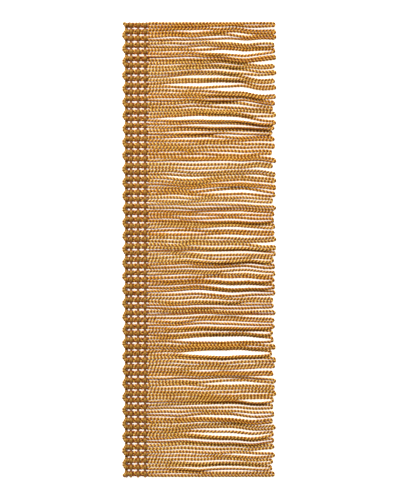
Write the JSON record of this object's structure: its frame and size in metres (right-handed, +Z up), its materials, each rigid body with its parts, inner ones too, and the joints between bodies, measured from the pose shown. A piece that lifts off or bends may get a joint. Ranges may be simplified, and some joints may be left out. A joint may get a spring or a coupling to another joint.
{
  "type": "cord fringe trim",
  "caption": "Narrow knitted heading with a scalloped edge and a skirt of looped chain-stitch cords, lying flat.",
  "frame": {"origin": "middle of the trim's bounding box, on the surface it lies on", "axes": "+X across the trim from the heading's scalloped edge to the loop tips, +Y along the heading, +Z up from the surface, out of the face side"},
  "size_m": [0.0618, 0.182, 0.002],
  "materials": {
    "heading_yarn": "knitted band of shiny chain-stitch cord bound by khaki warp threads",
    "fringe_cord": "gold chain-stitch rayon cord with a soft satin shine"
  },
  "bodies": {
    "root": {"heading": "heading_yarn", "fringe": "fringe_cord"}
  },
  "joints": []
}
